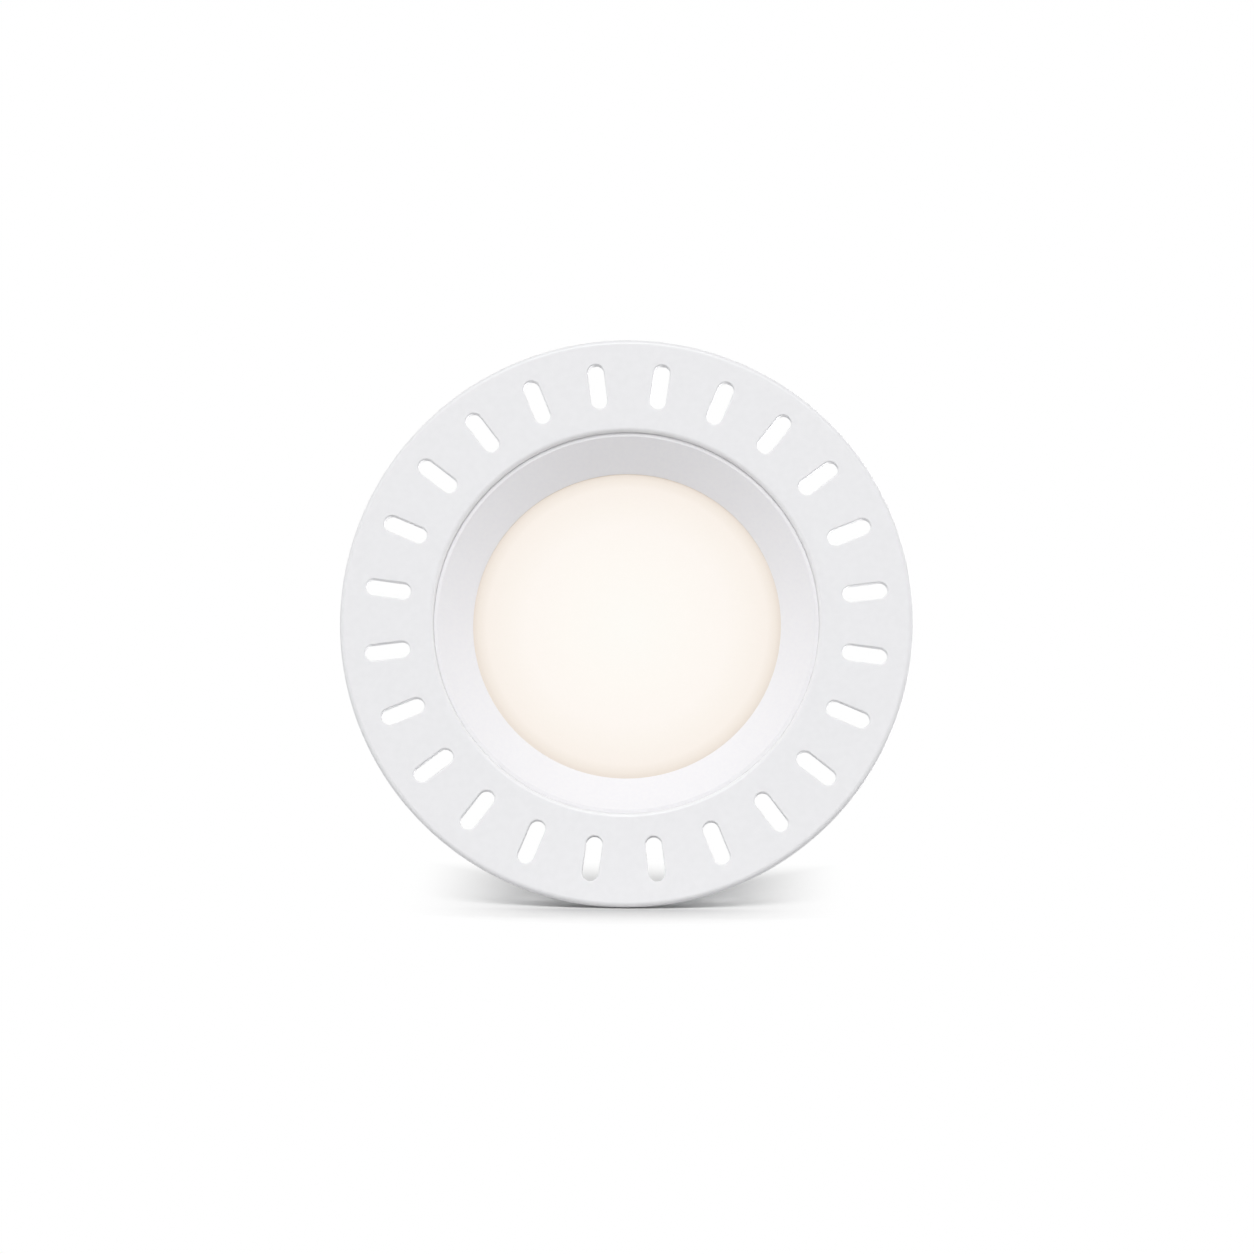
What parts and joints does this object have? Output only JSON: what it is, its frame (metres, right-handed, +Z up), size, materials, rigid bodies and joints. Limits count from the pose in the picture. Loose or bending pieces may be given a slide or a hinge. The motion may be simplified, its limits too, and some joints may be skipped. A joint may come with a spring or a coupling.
{
  "type": "soffit downlight",
  "caption": "Round recessed soffit downlight: white vented trim ring with radial slots, conical baffle, opal diffuser, finned heat sink, driver case and folding spring clips.",
  "frame": {"origin": "centre of the plane where the gasket meets the soffit", "axes": "+Z up into the soffit along the light's axis, light faces -Z; the cord enters the driver case from -X; one clip at +Y"},
  "size_m": [0.19, 0.19, 0.0704],
  "materials": {
    "white_coat": "satin powder coat",
    "baffle_coat": "matt white coat",
    "opal": "opal, satin",
    "foam": "closed-cell foam",
    "silicone": "satin",
    "reflector": "matt white",
    "board_mask": "white solder mask",
    "phosphor": "satin",
    "connector": "moulded",
    "gap_pad": "matt",
    "cast_aluminium": "die-cast, blasted",
    "zinc_screw": "zinc plated",
    "spring_steel": "rolled, zinc plated",
    "spring_wire": "drawn wire",
    "pin_steel": "ground",
    "nylon_black": "moulded",
    "case_plastic": "fine spark texture",
    "lid_plastic": "fine spark texture",
    "pcb": "solder mask",
    "ferrite": "sintered",
    "winding_tape": "polyester tape",
    "sleeve_blue": "shrink sleeve",
    "sleeve_grey": "shrink sleeve",
    "film_box": "moulded box",
    "copper_wire": "enamelled copper",
    "fuse_body": "glazed",
    "ic_black": "epoxy",
    "terminal_white": "moulded",
    "brass": "stamped",
    "button_orange": "moulded",
    "lead_brown": "insulation",
    "lead_red": "insulation",
    "lead_green": "insulation",
    "rubber_black": "moulded"
  },
  "bodies": {
    "root": {"trim_ring": "white_coat", "soffit_gasket": "foam", "baffle_cone": "baffle_coat", "diffuser": "opal", "diffuser_seal": "silicone", "mixing_reflector": "reflector", "led_board": "board_mask", "led_packages": "phosphor", "board_connector": "connector", "thermal_pad": "gap_pad", "heat_sink": "cast_aluminium", "board_screws": "zinc_screw", "trim_screws": "zinc_screw", "bracket_screws": "zinc_screw", "driver_case": "case_plastic", "driver_cover": "case_plastic", "cover_screws": "zinc_screw", "case_screws": "zinc_screw", "driver_board": "pcb", "transformer_core": "ferrite", "transformer_winding": "winding_tape", "bulk_capacitor": "sleeve_blue", "output_capacitor": "sleeve_grey", "film_capacitor": "film_box", "input_choke": "copper_wire", "fuse": "fuse_body", "rectifier_and_chips": "ic_black", "board_headers": "connector", "terminal_block": "terminal_white", "terminal_contacts": "brass", "driver_leads": "lead_brown", "led_leads": "lead_red", "earth_lead": "lead_green", "earth_screw": "brass", "cord_grommet": "rubber_black", "cord_clamp": "nylon_black", "clamp_screws": "zinc_screw", "lid_hinge_pin": "pin_steel", "clip_bracket_a": "spring_steel", "clip_pin_a": "pin_steel", "spring_tail_a": "spring_wire", "clip_bracket_b": "spring_steel", "clip_pin_b": "pin_steel", "spring_tail_b": "spring_wire", "clip_bracket_c": "spring_steel", "clip_pin_c": "pin_steel", "spring_tail_c": "spring_wire"},
    "lid": {"terminal_lid": "lid_plastic"},
    "button_live": {"release_button_live": "button_orange"},
    "button_neutral": {"release_button_neutral": "button_orange"},
    "button_earth": {"release_button_earth": "button_orange"},
    "clip_a": {"clip_arm_a": "spring_steel", "tip_sleeve_a": "nylon_black", "clip_spring_a": "spring_wire"},
    "clip_b": {"clip_arm_b": "spring_steel", "tip_sleeve_b": "nylon_black", "clip_spring_b": "spring_wire"},
    "clip_c": {"clip_arm_c": "spring_steel", "tip_sleeve_c": "nylon_black", "clip_spring_c": "spring_wire"}
  },
  "joints": [
    {"name": "clip_a_fold", "type": "hinge", "parent": "root", "child": "clip_a", "pos_m": [0, 0.066, 0.02], "axis": [1, 0, 0], "range_deg": [0, 100], "stiffness_Nm_per_rad": 0.15, "springref_deg": -30},
    {"name": "clip_b_fold", "type": "hinge", "parent": "root", "child": "clip_b", "pos_m": [-0.05716, -0.033, 0.02], "axis": [-0.5, 0.866, 0], "range_deg": [0, 100], "stiffness_Nm_per_rad": 0.15, "springref_deg": -30},
    {"name": "clip_c_fold", "type": "hinge", "parent": "root", "child": "clip_c", "pos_m": [0.05716, -0.033, 0.02], "axis": [-0.5, -0.866, 0], "range_deg": [0, 100], "stiffness_Nm_per_rad": 0.15, "springref_deg": -30},
    {"name": "terminal_lid_hinge", "type": "hinge", "parent": "root", "child": "lid", "pos_m": [-0.017, 0, 0.0631], "axis": [0, 1, 0], "range_deg": [0, 100]},
    {"name": "release_live_press", "type": "slide", "parent": "root", "child": "button_live", "axis": [0, 0, -1], "range_m": [0, 0.0012], "stiffness_N_per_m": 400, "springref_m": -0.0015},
    {"name": "release_neutral_press", "type": "slide", "parent": "root", "child": "button_neutral", "axis": [0, 0, -1], "range_m": [0, 0.0012], "stiffness_N_per_m": 400, "springref_m": -0.0015},
    {"name": "release_earth_press", "type": "slide", "parent": "root", "child": "button_earth", "axis": [0, 0, -1], "range_m": [0, 0.0012], "stiffness_N_per_m": 400, "springref_m": -0.0015}
  ]
}
